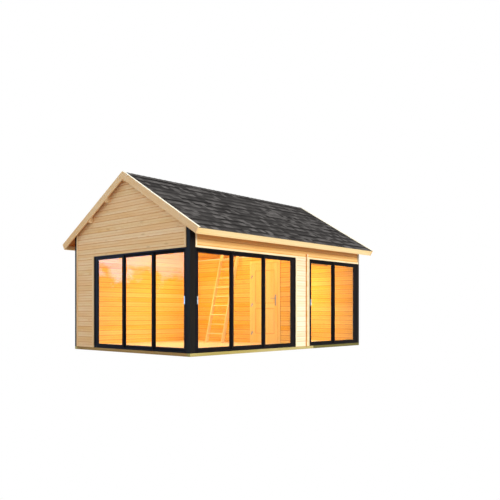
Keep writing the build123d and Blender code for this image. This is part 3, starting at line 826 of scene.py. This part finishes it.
innerX = house["halfWidth"] - house["wallThickness"]
innerY = house["halfLength"] - house["wallThickness"]
partitionLow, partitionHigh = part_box("partition_left_wall")
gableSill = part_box("gable_slider_frame")
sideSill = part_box("side_slider_frame")
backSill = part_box("back_room_slider_frame")
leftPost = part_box("corner_post_front_left")
postInner = house["halfWidth"] - house["postWidth"]
postBack = house["halfLength"] - house["postDepth"]


def frontRoomSpans(x):
    start = -innerY
    end = partitionLow.y
    if x < leftPost[1].x:
        start = leftPost[1].y
    if x > gableSill[0].x:
        start = gableSill[1].y
    if x > sideSill[0].x:
        start = sideSill[1].y
    return [(start, end)]


def backRoomSpans(x):
    start = partitionHigh.y
    end = innerY
    if abs(x) > postInner:
        end = postBack
    if x > backSill[0].x:
        end = backSill[0].y
    return [(start, end)]


floorFoot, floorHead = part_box("floor_boards")
floorBuild = newBuild()
cuts = [leftPost[1].x, gableSill[0].x, sideSill[0].x, backSill[0].x, -postInner, postInner]
for spans in (frontRoomSpans, backRoomSpans):
    deckBoards(floorBuild, (-innerX, innerX), spans, "y", floorFoot.z, floorHead.z, cuts)
makePiece(floorBuild, "floor_planks", [paintedSunFloorPine], "building", ["floor_boards"], "floor_pine")

deckLow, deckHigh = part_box("loft_deck")


def loftSpans(y):
    reach = postInner if y > postBack else innerX
    return [(-reach, reach)]


deckBuild = newBuild()
deckBoards(deckBuild, (deckLow.y, deckHigh.y), loftSpans, "x", deckLow.z, deckHigh.z, [postBack])
makePiece(deckBuild, "loft_planks", [paintedSunFloorPine], "building", ["loft_deck"], "floor_pine")
print("floors made")

# Roof boards run from the ridge to the eaves, and change colour where they leave the house: outside the
# walls they are painted dark orange as painted shade under the overhang
roofing = {
    "boardWidth": 0.0957, "boardEdge": 0.004, "boardGap": 0.0008, "thickness": 0.019, "wallLine": 2.3,
    "overhang": 0.352, "height": 0.041, "fascia": 0.02,
}
eavesReach = house["halfWidth"] + roofing["overhang"] - roofing["height"] * math.sin(pitch)
slopeEnd = {"trim": eavesReach / math.cos(pitch)}
slopeEnd["boards"] = slopeEnd["trim"] - roofing["fascia"]


def roofBoards(side, word):
    build = newBuild()
    count = round(2 * house["roofHalfLength"] / roofing["boardWidth"])
    step = 2 * house["roofHalfLength"] / count
    edge = roofing["boardEdge"]
    axes = (
        Vector((side * math.cos(pitch), 0, -math.sin(pitch))), Vector((0, 1, 0)),
        Vector((side * math.sin(pitch), 0, math.cos(pitch))),
    )
    for index in range(count):
        y0 = -house["roofHalfLength"] + index * step
        y1 = y0 + step - roofing["boardGap"]
        section = [
            (y0 + edge, 0.0), (y1 - edge, 0.0), (y1, edge), (y1, roofing["thickness"]),
            (y0, roofing["thickness"]), (y0, edge),
        ]
        ridgeRing = [slopePoint(side, -out * rise, out, y) for y, out in section]
        wallRing = [slopePoint(side, roofing["wallLine"], out, y) for y, out in section]
        eaveRing = [slopePoint(side, slopeEnd["boards"], out, y) for y, out in section]
        indoors = int(abs(y0 + step / 2) < house["halfLength"])
        addRings(build, [ridgeRing, wallRing], axes, indoors)
        addRings(build, [wallRing, eaveRing], axes)
    faces = [shadedSoffitPine, warmLitInsidePine]
    makePiece(build, f"roof_planks_{word}", faces, "building", [f"roof_boards_{word}"], "pine")


# Shingles: courses of wedge strips, each with raised tabs of its own tone
shingling = {
    "lightExposure": 0.15, "darkExposure": 0.085, "firstExposure": 0.144, "headlap": 0.03,
    "drip": 0.004, "lastCourse": 0.03, "highest": 0.006,
    "under": 0.019, "sheet": 0.0022, "stripLift": 0.0055, "stripSpring": 0.001,
    "tabLift": 0.004, "tabStep": 0.003, "tabHead": 0.012,
    "stripLength": 1.0, "firstStrip": 0.35, "stagger": 0.37, "stripGap": 0.0015,
    "tabWidths": (0.08, 0.22), "tabGap": 0.002, "lastTab": 0.04,
    "lightTones": (0.6, 1.0), "middleTones": (0.24, 0.52), "darkTones": (0.04, 0.3),
    "lightShare": 0.46, "strayShare": 0.16, "upperShade": 0.6,
}


def addShingle(build, side, y0, y1, lower, upper, lowOut, highOut, thick, tone):
    # Each sheet darkens towards the course above it
    rings = []
    for y in (y0, y1):
        rings.append([
            slopePoint(side, lower, lowOut, y), slopePoint(side, upper, highOut, y),
            slopePoint(side, upper, highOut - thick, y), slopePoint(side, lower, lowOut - thick, y),
        ])
    before = len(build["tones"])
    addRings(build, rings, grainAxes["y"])
    for index in range(before, len(build["tones"])):
        isUpper = (index - before) % 4 in (1, 2)
        build["tones"][index] = tone * shingling["upperShade"] if isUpper else tone


def shingleCourse(build, side, course, light, lower, upper):
    ends = house["roofHalfLength"]
    sheet = shingling["sheet"]
    base = shingling["under"] + sheet
    lift = shingling["under"] + shingling["stripLift"]
    springs = lift + shingling["stripSpring"]
    y = -ends
    while y < ends - 0.001:
        length = shingling["stripLength"]
        if y == -ends:
            length = shingling["firstStrip"] + shingling["stagger"] * (course % 3)
        stop = min(y + length, ends)
        tone = dice.uniform(*shingling["darkTones"])
        addShingle(build, side, y, stop - shingling["stripGap"], lower, upper, springs, base, sheet, tone)
        y = stop
    y = -ends
    while y < ends - shingling["lastTab"]:
        stop = min(y + dice.uniform(*shingling["tabWidths"]), ends)
        pick = dice.random()
        tones = shingling["lightTones"] if pick < shingling["lightShare"] else shingling["middleTones"]
        if light or pick < shingling["strayShare"]:
            addShingle(
                build, side, y, stop - shingling["tabGap"], lower, upper + shingling["tabHead"],
                lift + shingling["tabLift"], base + shingling["tabStep"], sheet, dice.uniform(*tones),
            )
        y = stop


def shingleSlope(side, word):
    build = newBuild()
    lower = slopeEnd["trim"] + shingling["drip"]
    course = 0
    while lower > shingling["lastCourse"]:
        light = course % 2 == 0
        exposure = shingling["lightExposure"] if light else shingling["darkExposure"]
        if course == 0:
            exposure = shingling["firstExposure"]
        upper = max(lower - exposure - shingling["headlap"], shingling["highest"])
        shingleCourse(build, side, course, light, lower, upper)
        lower -= exposure
        course += 1
    makePiece(build, f"shingle_courses_{word}", [roofShingle], "building", [f"shingles_{word}"], "shingle")


for side, word in ((-1, "left"), (1, "right")):
    roofBoards(side, word)
    shingleSlope(side, word)

# Ridge cap: short folded shingles, each lapping the next
capping = {
    "reach": 0.15, "folds": (0.07, 0.02), "exposure": 0.152, "lap": 0.05, "thickness": 0.0035,
    "low": 0.033, "lift": 0.008, "tail": 0.0015, "inset": 0.032, "shortest": 0.02, "tones": (0.3, 0.8),
}


def ridgeCap():
    build = newBuild()
    ends = house["roofHalfLength"] - capping["inset"]
    reaches = (capping["reach"], *capping["folds"])
    stations = [(-1, along) for along in reaches] + [(1, along) for along in reversed(reaches)]
    y = -ends
    while y < ends - capping["shortest"]:
        stop = min(y + capping["exposure"] + capping["lap"], ends)
        rings = []
        for place, lift in ((y, capping["lift"]), (stop, capping["tail"])):
            out = capping["low"] + lift
            upper = []
            lower = []
            for side, along in stations:
                upper.append(slopePoint(side, along, out, place))
                lower.append(slopePoint(side, along, out - capping["thickness"], place))
            rings.append(upper + lower[::-1])
        before = len(build["tones"])
        addRings(build, rings, grainAxes["y"])
        tone = dice.uniform(*capping["tones"])
        for index in range(before, len(build["tones"])):
            build["tones"][index] = tone
        y += capping["exposure"]
    makePiece(build, "ridge_cap_shingles", [roofShingle], "building", ["ridge_cap"], "shingle")


ridgeCap()
print("roof made")

# Screws that hold the trim
screws = {
    "radius": 0.0045, "dome": 0.0009, "recess": 0.0016, "sides": 12,
    "bargeFace": 0.028, "bargeRows": (0.004, -0.07), "bargeRun": (0.16, 0.1),
    "eavesRows": (-0.01, -0.08), "eavesInset": 0.1, "battenFace": 0.015,
    "sideBattens": ((0.306, 0.2, 2.05), (0.781, 0.2, 2.05), (-2.822, 2.18, 2.5)),
    "gableBattens": ((-1.885, 0.2, 2.5), (-1.2455, 0.2, 2.05), (1.86, 2.16, 2.55)),
    "headerRuns": ((-2.75, 0.6), (0.8, 2.88)), "headerHeight": 2.131,
    "spacing": 0.45, "headerSpacing": 0.5, "eavesSpacing": 0.55,
}


def addScrew(build, place, normal):
    normal = normal.normalized()
    across = normal.orthogonal().normalized()
    beside = normal.cross(across)
    rings = []
    dome, recess = screws["dome"], screws["recess"]
    steps = ((1.0, -0.0008), (1.0, 0.0002), (0.72, dome), (0.34, dome), (0.26, -recess))
    for share, lift in steps:
        ring = []
        for index in range(screws["sides"]):
            angle = 2 * math.pi * index / screws["sides"]
            reach = screws["radius"] * share
            way = across * math.cos(angle) + beside * math.sin(angle)
            ring.append(place + normal * lift + way * reach)
        rings.append(ring)
    addRings(build, rings, grainAxes["z"])


def spread(start, end, spacing):
    count = max(1, round((end - start) / spacing))
    return [start + (end - start) * index / count for index in range(count + 1)]


def trimScrews():
    build = newBuild()
    spacing = screws["spacing"]
    start, short = screws["bargeRun"]
    for way in (-1, 1):
        face = way * (house["roofHalfLength"] + screws["bargeFace"])
        for side in (-1, 1):
            for along in spread(start, slopeEnd["trim"] - short, spacing):
                for out in screws["bargeRows"]:
                    addScrew(build, slopePoint(side, along, out, face), Vector((0, way, 0)))
    reach = house["roofHalfLength"] - screws["eavesInset"]
    for side in (-1, 1):
        outward = Vector((side * math.cos(pitch), 0, -math.sin(pitch)))
        for y in spread(-reach, reach, screws["eavesSpacing"]):
            for out in screws["eavesRows"]:
                addScrew(build, slopePoint(side, slopeEnd["trim"], out, y), outward)
    sideFace = house["halfWidth"] + screws["battenFace"]
    gableFace = -house["halfLength"] - screws["battenFace"]
    for y, low, high in screws["sideBattens"]:
        for z in spread(low, high, spacing):
            addScrew(build, Vector((sideFace, y, z)), Vector((1, 0, 0)))
    for low, high in screws["headerRuns"]:
        for y in spread(low, high, screws["headerSpacing"]):
            addScrew(build, Vector((sideFace, y, screws["headerHeight"])), Vector((1, 0, 0)))
    for x, low, high in screws["gableBattens"]:
        for z in spread(low, high, spacing):
            addScrew(build, Vector((x, gableFace, z)), Vector((0, -1, 0)))
    makePiece(build, "trim_screws", [steel], "building", [], "steel", 35)


trimScrews()
print("screws made")

# Floor of the studio, lights and camera
studio = {
    "floorReach": 120.0, "white": 1.0, "floorShade": 0.6, "ambient": 0.72,
    "sunStrength": 2.3, "sunColour": (1.0, 0.98, 0.94), "sunAngle": 24.0,
    "sunElevation": 17.0, "sunTurn": 8.0,
    "skyColour": (0.3, 0.56, 1.0), "skyStrength": 10.0, "skyEdge": (0.055, 0.07), "skyRagged": 0.022,
    "glowPower": 40.0, "glowColour": (1.0, 0.71, 0.37), "glowRadius": 0.25,
    "glows": (
        ((-0.2, -1.9, 1.5), 0.8), ((-0.7, -0.6, 1.5), 0.85), ((0.8, -0.7, 2.5), 0.9),
        ((0.3, 1.8, 1.5), 1.5), ((0.2, 0.9, 2.95), 0.8),
    ),
}


# One for rays from the camera, and for those that gloss or glass passes on
def seenRay(tree, path):
    seen = path.outputs["Is Camera Ray"]
    for kind in ("Is Glossy Ray", "Is Transmission Ray"):
        adding = addNode(
            tree, "Math", {"operation": "ADD", "use_clamp": True}, {0: seen, 1: path.outputs[kind]},
        )
        seen = adding.outputs[0]
    return seen


def studioFloor():
    reach = studio["floorReach"]
    mesh = bpy.data.meshes.new("studio_floor")
    mesh.from_pydata(
        [(-reach, -reach, 0), (reach, -reach, 0), (reach, reach, 0), (-reach, reach, 0)], [], [(0, 1, 2, 3)],
    )
    floor = bpy.data.objects.new("studio_floor", mesh)
    bpy.context.scene.collection.objects.link(floor)
    made = bpy.data.materials.new("studioFloor")
    made.use_nodes = True
    tree = made.node_tree
    tree.nodes.clear()
    output = tree.nodes.new("ShaderNodeOutputMaterial")
    plain = addNode(tree, "BsdfDiffuse", {}, {"Color": (*[studio["floorShade"]] * 3, 1)}).outputs[0]
    white = addNode(
        tree, "Emission", {}, {"Color": (1, 1, 1, 1), "Strength": studio["white"]},
    ).outputs[0]
    seen = seenRay(tree, addNode(tree, "LightPath", {}, {}))
    mixed = addNode(tree, "MixShader", {}, {0: seen, 1: plain, 2: white}).outputs[0]
    tree.links.new(mixed, output.inputs["Surface"])
    mesh.materials.append(made)
    floor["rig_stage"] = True


def studioWorld():
    world = bpy.data.worlds.new("studioWorld")
    bpy.context.scene.world = world
    world.use_nodes = True
    tree = world.node_tree
    tree.nodes.clear()
    output = tree.nodes.new("ShaderNodeOutputWorld")
    path = addNode(tree, "LightPath", {}, {})
    soft = addNode(
        tree, "Background", {}, {"Color": (1, 1, 1, 1), "Strength": studio["ambient"]},
    ).outputs[0]
    white = addNode(
        tree, "Background", {}, {"Color": (1, 1, 1, 1), "Strength": studio["white"]},
    ).outputs[0]
    mixed = addNode(tree, "MixShader", {}, {0: seenRay(tree, path), 1: soft, 2: white}).outputs[0]
    # Blue sky with a ragged lower edge in front of the gable, which only reflections show
    panel = addNode(
        tree, "Background", {}, {"Color": (*studio["skyColour"], 1), "Strength": studio["skyStrength"]},
    ).outputs[0]
    way = addNode(tree, "TexCoord", {}, {}).outputs["Generated"]
    ragged = addNode(tree, "TexNoise", {}, {"Vector": way, "Scale": 34.0, "Detail": 6.0}).outputs["Fac"]
    ways = addNode(tree, "SeparateXYZ", {}, {0: way}).outputs
    lift = ramp(tree, ragged, 0.3, 0.7, -studio["skyRagged"], studio["skyRagged"])
    lifted = addNode(tree, "Math", {"operation": "ADD"}, {0: ways["Z"], 1: lift}).outputs[0]
    high = ramp(tree, lifted, *studio["skyEdge"])
    front = ramp(tree, ways["Y"], 0.0, -0.5)
    share = times(tree, times(tree, high, front), path.outputs["Is Glossy Ray"])
    mixed = addNode(tree, "MixShader", {}, {0: share, 1: mixed, 2: panel}).outputs[0]
    tree.links.new(mixed, output.inputs["Surface"])


def addLamp(name, kind, power, colour):
    lamp = bpy.data.lights.new(name, kind)
    lamp.energy = power
    lamp.color = colour
    holder = bpy.data.objects.new(name, lamp)
    bpy.context.scene.collection.objects.link(holder)
    return holder


studioFloor()
studioWorld()
sun = addLamp("key", "SUN", studio["sunStrength"], studio["sunColour"])
sun.data.angle = math.radians(studio["sunAngle"])
elevation = math.radians(studio["sunElevation"])
turn = math.radians(studio["sunTurn"])
flat = math.cos(elevation)
towardSun = Vector((flat * math.cos(turn), flat * math.sin(turn), math.sin(elevation)))
sun.rotation_euler = towardSun.to_track_quat("Z", "Y").to_euler()
for index, (place, share) in enumerate(studio["glows"]):
    glow = addLamp(f"glow{index}", "POINT", studio["glowPower"] * share, studio["glowColour"])
    glow.data.shadow_soft_size = studio["glowRadius"]
    glow.location = place
    glow.visible_camera = False
    glow.visible_glossy = False

view = {
    "place": (10.8679, -11.0637, 0.8449), "turn": 42.195, "lens": 45.04, "sensor": 36.0,
    "shift": 0.1256, "reach": 400.0,
}
cameraData = bpy.data.cameras.new("camera")
cameraData.lens = view["lens"]
cameraData.sensor_width = view["sensor"]
cameraData.shift_y = view["shift"]
cameraData.clip_end = view["reach"]
camera = bpy.data.objects.new("camera", cameraData)
camera.location = view["place"]
camera.rotation_euler = (math.radians(90), 0, math.radians(view["turn"]))
bpy.context.scene.collection.objects.link(camera)
bpy.context.scene.camera = camera
bpy.context.scene.view_settings.view_transform = "Standard"
print("studio made")

sizes = {"cad": cadBounds, "visual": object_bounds()}
{key: [list(corner) for corner in corners] for key, corners in sizes.items()}
